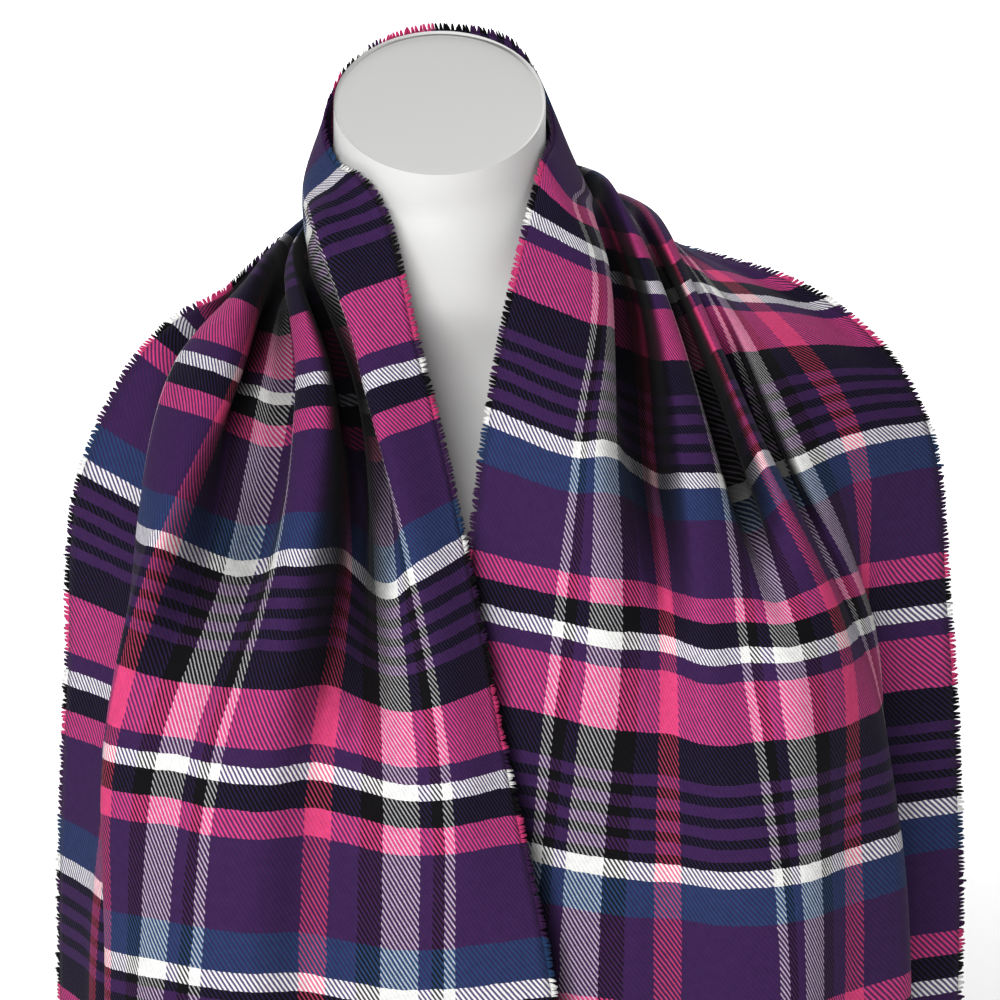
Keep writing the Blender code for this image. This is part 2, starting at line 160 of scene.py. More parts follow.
# Dress form: level sections from the flat underside to the neck cap, in millimetres
FORM_COLUMNS = ("height", "half_width", "front", "back", "centre_x", "squareness")
FORM = (
    (0, 150, 95, 100, 20, 2.3),
    (60, 160, 102, 108, 20, 2.3),
    (140, 166, 106, 112, 20, 2.3),
    (250, 152, 100, 102, 20, 2.3),
    (360, 126, 86, 86, 20, 2.3),
    (430, 120, 82, 80, 20, 2.3),
    (500, 132, 80, 84, 20, 2.3),
    (560, 144, 74, 90, 20, 2.3),
    (610, 154, 60, 94, 20, 2.3),
    (650, 160, 48, 96, 20, 2.3),
    (680, 142, 44, 92, 20, 2.3),
    (700, 114, 46, 86, 20, 2.3),
    (718, 88, 52, 80, 15, 2.2),
    (735, 73, 58, 74, 8, 2.2),
    (750, 65.4, 58.4, 68, 4, 2.1),
    (770, 62.6, 59.4, 64, 1, 2.0),
    (800, 59.0, 57.4, 61.6, 0, 2.0),
    (840, 58, 62, 62, 0, 2.0),
)
FORM_STEP = 9.0

# The rim of the cap: how far it lies below the last section, then steps inward and upward
RIM_DROP = 1.9
RIM_STEPS = ((0.2, 0.8), (0.45, 0.65), (0.65, 0.35), (0.5, 0.05))
CAP_TILT = 0.44
TILT_FROM = 770.0
TILT_TO = 835.0

# The cap's face lies above this height, in metres, and edges under this angle are smoothed
CAP_ABOVE = 0.5
SMOOTH_ANGLE = 0.9

# Creases between the folds, in millimetres: each runs from near to far along the cloth, is
# deepest in between, and lies on a line that drifts across. A ridge has a negative depth.
CREASE_COLUMNS = (
    "name", "near", "deepest", "far", "warp_near", "warp_far", "radius", "depth",
)
CREASES = (
    ("left_valley_2_inner_wall", 170, 390, 520, 68, 72, 15, 13),
    ("left_inner_edge", 390, 430, 462, 0, 0, 16, 3),
    ("left_neck_edge", 440, 464, 500, 0, 0, 14, -2.5),
    ("left_fold_c_edge", 365, 435, 495, 50, 52, 14, -9),
    ("left_valley_2_outer_wall", 170, 370, 480, 106, 113, 11, 11),
    ("left_fold_b", 170, 330, 450, 152, 154, 20, -4),
    ("left_valley_1_inner_wall", 150, 360, 460, 198, 201, 10, 11),
    ("left_valley_1_outer_wall", 210, 370, 460, 240, 244, 10, 9),
    ("left_fold_a", 120, 320, 430, 285, 290, 20, -2),
    ("right_valley_1", 730, 860, 1040, 97, 112, 12, 10),
    ("right_valley_2", 740, 900, 1110, 206, 222, 14, 11),
    ("right_valley_3", 760, 930, 1130, 300, 318, 15, 12),
    ("right_outer_edge", 700, 790, 930, 462, 462, 14, -15),
)

# Where the cloth sags, given in the same way: a negative depth lifts it
SAGS = (
    ("nape_edge_right", 640, 695, 775, 0, 0, 24, -10),
    ("left_inner_edge", -150, 0, 112, 0, 0, 30, -4),
    ("left_middle", -200, 50, 236, 118, 80, 42, 10),
    ("left_outer", -220, 0, 236, 290, 290, 75, 9),
    ("right_middle", 960, 1100, 1330, 165, 110, 75, 11),
    ("right_outer", 960, 1060, 1160, 400, 400, 60, 4),
)

# Small unevenness of the hanging cloth, and the distance over which slopes are measured
FINE_RIPPLE = 0.45
BROAD_RIPPLE = 0.35
CROSS_RIPPLE = 0.25
SLOPE_STEP = 2.0

# The painted shade in the hollows: rays from each point of some rows, how far off the cloth
# they start and how far they reach, and the angle from one ray to the next
AIR_RAYS = 28
AIR_ROWS = 3
AIR_START = 1.5
AIR_REACH = 90.0
FORM_AIR_STEP = 10.0
GOLDEN_TURN = 2.399963

# The share of open air free of painted shade, and how fast the painted shade deepens below
# that
PAINTED_SHADE_FREE_AIR = 0.84
PAINTED_SHADE_POWER = 2.2
# On the form the painted shade stands for the shadow the strands cast on its throat
FORM_PAINTED_SHADE_POWER = 0.8

# Plaid, in millimetres: where each band of yarn starts within one repeat
WARP_REPEAT = 136.0
WARP_START = 49.0
WARP_BANDS = (
    (0.0, "white"),
    (6.3, "black"),
    (12.8, "violet"),
    (20.5, "white"),
    (41.5, "black"),
    (54.5, "violet"),
    (69.5, "coral"),
    (84.0, "violet"),
)
WEFT_REPEAT = 236.0
WEFT_BANDS = (
    (0.0, "white"),
    (5.5, "blue"),
    (27.5, "plum"),
    (78.2, "pink"),
    (92.5, "black"),
    (107.0, "white"),
    (117.0, "plum"),
    (126.4, "pink"),
    (160.0, "black"),
    (182.0, "plum"),
    (188.6, "black"),
    (194.1, "plum"),
    (200.7, "black"),
    (206.2, "plum"),
    (212.8, "black"),
    (218.4, "plum"),
    (225.0, "black"),
    (230.5, "white"),
)
TWILL_ACROSS = 2.7
TWILL_ALONG = 3.9

# How much of the warp shows, how sharply it rises over the weft, how far stray fibres blur
# that, and how dark the gaps between the yarns are
WARP_SHARE = 0.28
WARP_RISE = 0.55
STRAY_FIBRE = 0.35
YARN_GAP = 0.6

# Grain of the brushed yarn: how fine each noise is, how far it moves the bands, in metres,
# and how much it turns the twill
WAVER_SCALE = 260.0
DRIFT_SCALE = 55.0
FIBRE_SCALE = 1400.0
NAP_SCALE = 190.0
BAND_WAVER = 0.0016
TWILL_WAVER = 130.0

# How much the fibres and the nap lighten and darken the yarn, how high they stand, and how
# the cloth shines
FIBRE_SHADE = 0.6
NAP_SHADE = 0.5
TWILL_RELIEF = 0.5
FIBRE_RELIEF = 0.9
NAP_RELIEF = 1.1
CLOTH_BUMP = (0.55, 0.00028)
CLOTH_ROUGHNESS = 0.80
ROUGHNESS_SPREAD = 0.15
CLOTH_SHINE = 0.12
CLOTH_SHEEN = 0.03
SHEEN_ROUGHNESS = 0.45

# The moulded shell: its clouds, its fine grain and how rough the shell and the cap are
CLOUD_SCALE = 9.0
CLOUD_SHADE = 0.965
GRAIN_SCALE = 420.0
GRAIN_BUMP = (0.25, 0.0001)
GRAIN_ROUGHNESS = 0.08
SHELL_ROUGHNESS = 0.42
CAP_ROUGHNESS = 0.55

# Loose yarn ends: shares of the set length and thickness, how they lean, lift, draw
# together and bend, how far the middle and the tip lie, how each of the three rings scales
# and where its corners are, and, in millimetres, the root's depth and the corners' gap
CLUMP = 3
END_LENGTHS = (0.78, 1.0)
END_THICKNESSES = (0.42, 0.58)
END_LEAN = 0.09
END_LIFT = 0.10
CLUMP_PULL = 0.35
LEAN_BEND = 1.9
LIFT_BEND = 1.8
MIDDLE_SHARE = 0.55
TIP_SHARE = 0.5
END_SCALES = (1.0, 0.9, 0.7)
END_TURNS = (0.0, 2.1, 4.2)
ROOT_DEPTH = 0.5
FRINGE_INSET = 1.0

# Camera and lamps, in metres. A lamp has a name, a place, a target, a size and its share of
# the key light's power.
CAMERA_PLACE = (0.033, -2.984, 1.467)
CAMERA_TILT = 74.0
CAMERA_LENS = 200.0
CAMERA_WIDTH = 36.0
CAMERA_REACH = 100.0
FLOOR_ROUGHNESS = 0.9
LAMP_TARGET = (0.03, -0.05, 0.62)
LAMPS = (
    ("front_lamp", (-0.88, -2.5, 1.9), LAMP_TARGET, (2.1, 1.5), 1.0),
    ("side_lamp", (2.4, -1.6, 1.5), LAMP_TARGET, (1.0, 1.6), 0.04),
    ("floor_lamp", (0.0, 5.4, 3.4), (0.0, 5.4, 0.0), (5.0, 6.0), 6.3),
)

YARNS = ("plum", "violet", "pink", "coral", "blue", "white", "black")

# Yarns are mixed as the eye does, in powers of their brightness
EYE = 3.6


def paint(name, text, default):
    """A colour that the user may change."""
    return bpy.props.FloatVectorProperty(
        name=name,
        description=text,
        subtype="COLOR",
        size=4,
        min=0.0,
        max=1.0,
        default=default,
    )


class ScarfCloth(bpy.types.PropertyGroup):
    wall: bpy.props.FloatProperty(
        name="Cloth thickness",
        description="Thickness of the brushed cloth",
        default=0.0013,
        min=0.0005,
        max=0.003,
        unit="LENGTH",
    )
    row_step: bpy.props.FloatProperty(
        name="Row step",
        description="Distance between the mesh's rows along the cloth",
        default=0.005,
        min=0.003,
        max=0.02,
        unit="LENGTH",
    )
    column_step: bpy.props.FloatProperty(
        name="Column step",
        description="Distance between the mesh's columns across the cloth",
        default=0.0045,
        min=0.003,
        max=0.02,
        unit="LENGTH",
    )
    plum: paint("Plum weft", "The ground across", (0.050, 0.0145, 0.074, 1.0))
    violet: paint("Violet warp", "The ground along", (0.034, 0.018, 0.092, 1.0))
    pink: paint("Pink weft", "The bright bands across", (0.68, 0.056, 0.215, 1.0))
    coral: paint("Coral warp", "The bright bands along", (0.93, 0.078, 0.20, 1.0))
    blue: paint("Blue yarn", "The band beside the white line", (0.021, 0.052, 0.138, 1.0))
    white: paint("White yarn", "The narrow lines", (0.92, 0.92, 0.90, 1.0))
    black: paint("Black yarn", "The dark bands", (0.0035, 0.003, 0.0045, 1.0))


class ScarfFringe(bpy.types.PropertyGroup):
    length: bpy.props.FloatProperty(
        name="Fringe length",
        description="How far the cut yarn ends stand out",
        default=0.0046,
        min=0.001,
        max=0.02,
        unit="LENGTH",
    )
    spacing: bpy.props.FloatProperty(
        name="Fringe spacing",
        description="Distance between two cut yarn ends",
        default=0.00078,
        min=0.0005,
        max=0.01,
        unit="LENGTH",
    )
    thickness: bpy.props.FloatProperty(
        name="Yarn thickness",
        description="Thickness of one yarn end at its root",
        default=0.001,
        min=0.0002,
        max=0.003,
        unit="LENGTH",
    )


class ScarfForm(bpy.types.PropertyGroup):
    sides: bpy.props.IntProperty(
        name="Sides",
        description="Number of sides of each section of the form",
        default=96,
        min=24,
        max=160,
    )
    shell: paint("Form colour", "The smooth moulded form", (0.76, 0.76, 0.75, 1.0))
    cap: paint("Neck cap colour", "The flat cap on the neck", (0.66, 0.66, 0.65, 1.0))


class ScarfStage(bpy.types.PropertyGroup):
    floor: paint("Floor colour", "The plain floor", (0.95, 0.95, 0.95, 1.0))
    floor_size: bpy.props.FloatProperty(
        name="Floor size",
        description="Side of the square floor",
        default=40.0,
        min=5.0,
        max=100.0,
        unit="LENGTH",
    )
    key_power: bpy.props.FloatProperty(
        name="Key light",
        description="Power of the large front light",
        default=80.0,
        min=0.0,
        max=2000.0,
        subtype="POWER",
    )
    air: bpy.props.FloatProperty(
        name="Room light",
        description="Strength of the even light from all round",
        default=0.12,
        min=0.0,
        max=5.0,
    )


def rows_by_name(columns, table):
    """Read a table into one dictionary for each row."""
    return [dict(zip(columns, row)) for row in table]


def hermite(knots, values, at):
    """Smooth curve through values at knots, read at the given places."""
    knots = np.asarray(knots, float)
    values = np.asarray(values, float)
    at = np.asarray(at, float)
    slopes = np.empty_like(values)
    steps = np.diff(knots)[:, None]
    chords = np.diff(values, axis=0) / steps
    slopes[0] = chords[0]
    slopes[-1] = chords[-1]
    before = steps[:-1]
    after = steps[1:]
    slopes[1:-1] = (chords[:-1] * after + chords[1:] * before) / (before + after)
    span = np.clip(np.searchsorted(knots, at, side="right") - 1, 0, len(knots) - 2)
    width = (knots[span + 1] - knots[span])[:, None]
    t = (at - knots[span])[:, None] / width
    inside = np.clip(t, 0.0, 1.0)
    curve = (
        values[span] * (1 + 2 * inside) * (1 - inside) ** 2
        + slopes[span] * width * inside * (1 - inside) ** 2
        + values[span + 1] * inside**2 * (3 - 2 * inside)
        + slopes[span + 1] * width * inside**2 * (inside - 1)
    )
    beyond = (t - inside) * width
    end_slope = np.where(t < 0, slopes[span], slopes[span + 1])
    return curve + beyond * end_slope


def place(row, station):
    """A warp line's point at a station whose height the table gives."""
    return np.array([row[station + "_x"], -row[station + "_y"], row[station + "_z"]], float)


def low_place(row, station, heights, share):
    """A warp line's point at a station whose height runs evenly from edge to edge."""
    height = heights[0] + (heights[1] - heights[0]) * share
    return np.array([row[station + "_x"], -row[station + "_y"], height], float)


def hem_place(bottom, centre):
    """The point of the hem straight below a warp line's lowest station."""
    across = centre + (bottom[0] - centre) * HEM_SPREAD
    forward = HEM_FORWARD + (-bottom[1] - HEM_FORWARD) * HEM_FOLD_DEPTH
    return np.array([across, -forward, bottom[2] - LENGTH_BELOW * HANG])


def neck_places(left, nape, right):
    """Points round the back of the neck, turned about the neck's own axis."""
    points = []
    for first, last in ((left, nape), (nape, right)):
        turn_first = np.arctan2(first[1], first[0]) % (2 * np.pi)
        turn_last = np.arctan2(last[1], last[0]) % (2 * np.pi)
        if last is right and turn_last > np.pi:
            turn_last -= 2 * np.pi
        reach_first = np.hypot(first[0], first[1])
        reach_last = np.hypot(last[0], last[1])
        for step in range(1, NECK_GUIDES + 1):
            share = step / (NECK_GUIDES + 1)
            eased = share * share * (3 - 2 * share)
            turn = turn_first + (turn_last - turn_first) * share
            reach = reach_first + (reach_last - reach_first) * eased
            height = first[2] + (last[2] - first[2]) * eased
            points.append(np.array([reach * np.cos(turn), reach * np.sin(turn), height]))
        if last is nape:
            points.append(nape)
    return points


def warp_line(nape_row, left_row, right_row):
    """One warp line from hem to hem: cloth lengths and the points there."""
    share = nape_row["warp"] / WIDTH
    left_bottom = low_place(left_row, "bottom", LEFT_BOTTOM_HEIGHTS, share)
    right_bottom = low_place(right_row, "bottom", RIGHT_BOTTOM_HEIGHTS, share)
    left_side = [
        hem_place(left_bottom, HEM_CENTRE_LEFT),
        left_bottom,
        low_place(left_row, "lower", LEFT_LOWER_HEIGHTS, share),
        place(left_row, "middle"),
        place(left_row, "upper"),
        place(left_row, "shoulder"),
    ]
    right_side = [
        place(right_row, "shoulder"),
        place(right_row, "upper"),
        place(right_row, "middle"),
        low_place(right_row, "lower", RIGHT_LOWER_HEIGHTS, share),
        right_bottom,
        hem_place(right_bottom, HEM_CENTRE_RIGHT),
    ]
    nape = np.array([0.0, nape_row["nape_back"], nape_row["nape_height"]])
    neck = neck_places(left_side[-1], nape, right_side[0])
    loop = np.array([left_side[-2], left_side[-1], *neck, right_side[0], right_side[1]])
    steps = np.linalg.norm(np.diff(loop, axis=0), axis=1)
    along = np.concatenate([[0.0], np.cumsum(steps)]) / steps.sum()
    loop_lengths = LEFT_UPPER + along * (RIGHT_UPPER - LEFT_UPPER)
    lengths = [LEFT_HEM, LEFT_BOTTOM, LEFT_LOWER, LEFT_MIDDLE, *loop_lengths]
    lengths += [RIGHT_MIDDLE, RIGHT_LOWER, RIGHT_BOTTOM, RIGHT_HEM]
    points = [*left_side[:-2], *loop, *right_side[2:]]
    return lengths, points


def warp_lines():
    """Every warp line of the cloth, from the inner to the outer edge."""
    return [
        warp_line(*rows)
        for rows in zip(
            rows_by_name(NAPE_COLUMNS, NAPE),
            rows_by_name(STRAND_COLUMNS, LEFT),
            rows_by_name(STRAND_COLUMNS, RIGHT),
        )
    ]


def warp_places():
    """The warp lines' distances from the inner edge."""
    return [row["warp"] for row in rows_by_name(NAPE_COLUMNS, NAPE)]


def cloth_points(lengths, warps):
    """Points of the cloth at lengths along it and distances across it, in millimetres."""
    lines = np.array([hermite(along, points, lengths) for along, points in warp_lines()])
    places = warp_places()
    return np.array([hermite(places, lines[:, i], warps) for i in range(len(lengths))])


def soft_depths(table, lengths, warps):
    """How far the rows of a crease table move the cloth, in millimetres."""
    along = np.asarray(lengths, float)[:, None]
    across = np.asarray(warps, float)[None, :]
    depth = np.zeros(np.broadcast(along, across).shape)
    for row in rows_by_name(CREASE_COLUMNS, table):
        span = row["far"] - row["near"]
        share = np.clip((along - row["near"]) / span, 0.0, 1.0)
        line = row["warp_near"] + (row["warp_far"] - row["warp_near"]) * share
        middle = row["deepest"]
        before = (along - row["near"]) / (middle - row["near"])
        after = (row["far"] - along) / (row["far"] - middle)
        swell = np.clip(np.minimum(before, after), 0.0, 1.0)
        swell = swell * swell * (3 - 2 * swell)
        depth += row["depth"] * swell * np.exp(-(((across - line) / row["radius"]) ** 2))
    return depth


def ripples(lengths, warps):
    """Small soft unevenness of hanging cloth, in millimetres.

    The fine ripples sway and come and go, the broad ones slant, and the last run across.
    """
    along = np.asarray(lengths, float)[:, None]
    across = np.asarray(warps, float)[None, :]
    fine = np.sin(across / 9.0 + 1.7 * np.sin(along / 61.0))
    swell = 0.5 + 0.5 * np.sin(along / 47.0 + across / 71.0)
    broad = np.sin(across / 17.0 - along / 83.0 + 0.8)
    cross = np.sin(along / 29.0 + 2.1 * np.sin(across / 53.0))
    return FINE_RIPPLE * fine * swell + BROAD_RIPPLE * broad + CROSS_RIPPLE * cross


def dressed_points(lengths, warps):
    """The cloth with its creases and ripples, its normals and its directions across."""
    lengths = np.asarray(lengths, float)
    warps = np.asarray(warps, float)
    ahead = cloth_points(lengths + SLOPE_STEP, warps)
    behind = cloth_points(lengths - SLOPE_STEP, warps)
    outer = cloth_points(lengths, warps + SLOPE_STEP)
    across = outer - cloth_points(lengths, warps - SLOPE_STEP)
    normals = np.cross(ahead - behind, across)
    normals /= np.linalg.norm(normals, axis=2, keepdims=True)
    relief = ripples(lengths, warps) - soft_depths(CREASES, lengths, warps)
    points = cloth_points(lengths, warps) + normals * relief[:, :, None]
    points[:, :, 2] -= soft_depths(SAGS, lengths, warps)
    return points, normals, across


def sheet_faces(rows, columns):
    """The four-cornered faces of a grid of points."""
    index = np.arange(rows * columns).reshape(rows, columns)
    corners = (index[:-1, :-1], index[1:, :-1], index[1:, 1:], index[:-1, 1:])
    return np.stack(corners, axis=-1).reshape(-1, 4).tolist()


def cloth_tree(points):
    """The cloth's faces, ready to be met by rays."""
    return BVHTree.FromPolygons(
        points.reshape(-1, 3).tolist(), sheet_faces(points.shape[0], points.shape[1])
    )


def open_air(tree, points, normals):
    """How much of the air in front of each point is free of cloth, from 0 to 1."""
    height = (np.arange(AIR_RAYS) + 0.5) / AIR_RAYS
    turn = np.arange(AIR_RAYS) * GOLDEN_TURN
    reach = np.sqrt(1.0 - height)
    rays = np.stack([reach * np.cos(turn), reach * np.sin(turn), np.sqrt(height)], axis=-1)
    dome = [Vector(ray) for ray in rays]
    free = []
    for point, normal in zip(points, normals):
        normal = Vector(normal)
        start = Vector(point) + normal * AIR_START
        aim = normal.to_track_quat("Z", "Y").to_matrix()
        hits = [tree.ray_cast(start, aim @ ray, AIR_REACH)[0] is not None for ray in dome]
        free.append(1.0 - sum(hits) / AIR_RAYS)
    return np.array(free)


def cloth_air(points, normals):
    """The open air before every point of the cloth, looked for on some rows only."""
    rows, columns = points.shape[:2]
    tree = cloth_tree(points)
    looked = np.unique([*range(0, rows, AIR_ROWS), rows - 1])
    free = open_air(tree, points[looked].reshape(-1, 3), normals[looked].reshape(-1, 3))
    free = free.reshape(len(looked), columns).T
    whole = np.arange(rows)
    return np.stack([np.interp(whole, looked, column) for column in free], axis=-1)


def keep_air(mesh, free):
    """Store the open air on a mesh's points, from which the materials paint shade."""
    air = mesh.attributes.new("open_air", "FLOAT", "POINT")
    air.data.foreach_set("value", np.asarray(free, np.float32).ravel())


def deselect():
    """Leave nothing selected and no object active."""
    bpy.ops.object.select_all(action="DESELECT")
    bpy.context.view_layer.objects.active = None


def add_piece(name, mesh, material):
    """Put a mesh in the scene as the only selected object."""
    piece = bpy.data.objects.new(name, mesh)
    bpy.context.scene.collection.objects.link(piece)
    mesh.materials.append(material)
    deselect()
    piece.select_set(True)
    bpy.context.view_layer.objects.active = piece
    return piece


def set_uv(mesh, flat):
    """Give a mesh the cloth's own flat coordinates, across and along, in metres."""
    corners = np.empty(len(mesh.loops), np.int32)
    mesh.loops.foreach_get("vertex_index", corners)
    layer = mesh.uv_layers.new(name="flat_cloth")
    layer.uv.foreach_set("vector", np.ascontiguousarray(flat[corners], np.float32).ravel())


class Graph:
    """Short calls for building a material's nodes."""

    def __init__(self, name):
        self.material = bpy.data.materials.new(name)
        self.material.use_nodes = True
        self.nodes = self.material.node_tree.nodes
        self.links = self.material.node_tree.links
        self.shader = self.nodes["Principled BSDF"]

    def node(self, kind, **settings):
        """A new node with the given settings."""
        made = self.nodes.new(kind)
        for key, value in settings.items():
            setattr(made, key, value)
        return made

    def plug(self, value, socket):
        """Join a socket to another one, or give it a plain value."""
        if isinstance(value, bpy.types.NodeSocket):
            self.links.new(value, socket)
        else:
            socket.default_value = value

    def math(self, operation, first, second=0.0, third=0.0, clamp=False):
        """A sum, product or the like of up to three values."""
        made = self.node("ShaderNodeMath", operation=operation, use_clamp=clamp)
        for socket, value in zip(made.inputs, (first, second, third)):
            self.plug(value, socket)
        return made.outputs[0]

    def mix(self, share, first, second):
        """Two colours mixed."""
        made = self.node("ShaderNodeMix", data_type="RGBA")
        self.plug(share, made.inputs["Factor"])
        self.plug(first, made.inputs["A"])
        self.plug(second, made.inputs["B"])
        return made.outputs["Result"]

    def noise(self, vector, scale, detail=2.0, rough=0.5):
        """Soft noise, about 0.5 on average."""
        made = self.node("ShaderNodeTexNoise")
        self.plug(vector, made.inputs["Vector"])
        made.inputs["Scale"].default_value = scale
        made.inputs["Detail"].default_value = detail
        made.inputs["Roughness"].default_value = rough
        return made.outputs["Fac"]

    def painted_hollow_shade(self, power):
        """Painted shade in the hollows, from the piece's own open air."""
        air = self.node("ShaderNodeAttribute", attribute_name="open_air").outputs["Fac"]
        shaded = self.math("MULTIPLY_ADD", air, 1.0 / PAINTED_SHADE_FREE_AIR, 0.0, clamp=True)
        return self.math("POWER", shaded, power)

    def bands(self, share, bands, repeat, colours):
        """Flat bands of yarn colour over one repeat."""
        made = self.node("ShaderNodeValToRGB")
        ramp = made.color_ramp
        ramp.interpolation = "CONSTANT"
        for index, (start, name) in enumerate(bands):
            stop = ramp.elements[0] if index == 0 else ramp.elements.new(start / repeat)
            stop.position = start / repeat
            stop.color = [channel ** (1 / EYE) for channel in colours[name][:3]] + [1.0]
        ramp.elements.remove(ramp.elements[-1])
        self.plug(share, made.inputs["Fac"])
        return made.outputs["Color"]

    def dye_and_shade(self, colour, light):
        """Give the surface a colour, dimmed by a share that holds its own tone and any
        painted shade.
        """
        shade = self.node("ShaderNodeVectorMath", operation="SCALE")
        self.plug(colour, shade.inputs[0])
        self.plug(light, shade.inputs["Scale"])
        self.plug(shade.outputs[0], self.shader.inputs["Base Color"])

    def grain(self, height, strength, distance):
        """Give the surface a fine relief."""
        bump = self.node("ShaderNodeBump")
        bump.inputs["Strength"].default_value = strength
        bump.inputs["Distance"].default_value = distance
        self.plug(height, bump.inputs["Height"])
        self.plug(bump.outputs[0], self.shader.inputs["Normal"])

    def set_input(self, name, value):
        """Set or plug one of the shader's inputs."""
        self.plug(value, self.shader.inputs[name])


def plaid_material(name, colours, show):
    """Brushed twill plaid, read from the cloth's flat coordinates.

    show is cloth for the weave, or weft or warp for loose ends of those yarns.
    """
    graph = Graph(name)
    flat = graph.node("ShaderNodeUVMap", uv_map="flat_cloth").outputs["UV"]
    split = graph.node("ShaderNodeSeparateXYZ")
    graph.plug(flat, split.inputs[0])
    across, along = split.outputs[0], split.outputs[1]

    waver = graph.noise(flat, WAVER_SCALE, 3.0, 0.6)
    waver = graph.math("MULTIPLY_ADD", waver, BAND_WAVER, -BAND_WAVER / 2)
    drift = graph.noise(flat, DRIFT_SCALE, 1.0)
    drift = graph.math("MULTIPLY_ADD", drift, BAND_WAVER, -BAND_WAVER / 2)
    across_yarn = graph.math("ADD", graph.math("ADD", across, waver), drift)
    along_yarn = graph.math("SUBTRACT", graph.math("ADD", along, waver), drift)

    share = graph.math("SUBTRACT", across_yarn, WARP_START * MM)
    share = graph.math("DIVIDE", share, WARP_REPEAT * MM)
    warp = graph.bands(graph.math("FRACT", share), WARP_BANDS, WARP_REPEAT, colours)
    share = graph.math("DIVIDE", along_yarn, WEFT_REPEAT * MM)
    weft = graph.bands(graph.math("FRACT", share), WEFT_BANDS, WEFT_REPEAT, colours)

    slope_a = graph.math("DIVIDE", across, TWILL_ACROSS * MM)
    slope_b = graph.math("DIVIDE", along, TWILL_ALONG * MM)
    turn = graph.math("SUBTRACT", slope_a, slope_b)
    turn = graph.math("ADD", turn, graph.math("MULTIPLY", waver, TWILL_WAVER))
    wave = graph.math("SINE", graph.math("MULTIPLY", turn, 2 * np.pi))
    fibre = graph.noise(flat, FIBRE_SCALE, 2.0, 0.7)
    stray = graph.math("MULTIPLY_ADD", fibre, STRAY_FIBRE, WARP_SHARE - STRAY_FIBRE / 2)
    over = graph.math("MULTIPLY_ADD", wave, WARP_RISE, stray, clamp=True)

    if show == "cloth":
        colour = graph.mix(over, weft, warp)
    else:
        colour = weft if show == "weft" else warp
    eye = graph.node("ShaderNodeGamma")
    graph.plug(colour, eye.inputs["Color"])
    eye.inputs["Gamma"].default_value = EYE
    colour = eye.outputs["Color"]

    nap = graph.noise(flat, NAP_SCALE, 3.0, 0.65)
    light = graph.math("MULTIPLY_ADD", fibre, FIBRE_SHADE, 1.0 - FIBRE_SHADE / 2)
    tuft = graph.math("MULTIPLY_ADD", nap, NAP_SHADE, 1.0 - NAP_SHADE / 2)
    light = graph.math("MULTIPLY", light, tuft)
    if show == "cloth":
        under = graph.math("MULTIPLY", over, graph.math("SUBTRACT", over, 1.0))
        gap = graph.math("MULTIPLY_ADD", under, YARN_GAP, 1.0)
        light = graph.math("MULTIPLY", light, gap)
        # Painted shade in the creases and hollows between the folds
        light = graph.math("MULTIPLY", light, graph.painted_hollow_shade(PAINTED_SHADE_POWER))
    graph.dye_and_shade(colour, light)

    relief = graph.math("MULTIPLY", fibre, FIBRE_RELIEF)
    relief = graph.math("MULTIPLY_ADD", wave, TWILL_RELIEF, relief)
    relief = graph.math("ADD", relief, graph.math("MULTIPLY", nap, NAP_RELIEF))
    graph.grain(relief, *CLOTH_BUMP)

    rough = graph.math("MULTIPLY_ADD", fibre, ROUGHNESS_SPREAD, CLOTH_ROUGHNESS, clamp=True)
    graph.set_input("Roughness", rough)
    graph.set_input("Specular IOR Level", CLOTH_SHINE)
    graph.set_input("Sheen Weight", CLOTH_SHEEN)
    graph.set_input("Sheen Roughness", SHEEN_ROUGHNESS)
    return graph.material


def moulded_material(name, colour, roughness, painted_shade_power):
    """Smooth moulded shell with a faint unevenness, and painted shade under the cloth."""
    graph = Graph(name)
    spot = graph.node("ShaderNodeTexCoord").outputs["Object"]
    cloud = graph.noise(spot, CLOUD_SCALE)
    fine = graph.noise(spot, GRAIN_SCALE, 2.0, 0.6)
    dull = [channel * CLOUD_SHADE for channel in colour[:3]] + [1.0]
    graph.dye_and_shade(graph.mix(cloud, colour, dull), graph.painted_hollow_shade(painted_shade_power))
    least = roughness - GRAIN_ROUGHNESS / 2
    rough = graph.math("MULTIPLY_ADD", fine, GRAIN_ROUGHNESS, least, clamp=True)
    graph.set_input("Roughness", rough)
    graph.grain(fine, *GRAIN_BUMP)
    return graph.material


def yarn_colours(settings):
    """The yarn colours by name."""
    return {name: tuple(getattr(settings, name)) for name in YARNS}


class SCARF_OT_cloth(bpy.types.Operator):
    """Drape the whole cloth as one thin sheet"""

    bl_idname = "scarf.cloth"
    bl_label = "Cloth"

    def execute(self, context):
        settings = context.scene.scarf_cloth
        rows = int(round((RIGHT_HEM - LEFT_HEM) * MM / settings.row_step)) + 1
        columns = int(round(WIDTH * MM / settings.column_step)) + 1
        lengths = np.linspace(LEFT_HEM, RIGHT_HEM, rows)
        warps = np.linspace(0.0, WIDTH, columns)
        points, normals, _ = dressed_points(lengths, warps)
        mesh = bpy.data.meshes.new("scarf_cloth")
        verts = (points.reshape(-1, 3) * MM).tolist()
        mesh.from_pydata(verts, [], sheet_faces(rows, columns))
        along, over = np.meshgrid(lengths, warps, indexing="ij")
        set_uv(mesh, np.stack([over, along], axis=-1).reshape(-1, 2) * MM)
        keep_air(mesh, cloth_air(points, normals))
        material = plaid_material("brushed_plaid", yarn_colours(settings), "cloth")
        piece = add_piece("scarf_cloth", mesh, material)
        wall = piece.modifiers.new("Wall", "SOLIDIFY")
        wall.thickness = settings.wall
        wall.offset = 0.0
        wall.use_even_offset = False
        bpy.ops.object.modifier_apply(modifier=wall.name)
        bpy.ops.object.shade_smooth()
        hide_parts(*CLOTH_NODES)
        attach(piece, BODY)
        return {"FINISHED"}


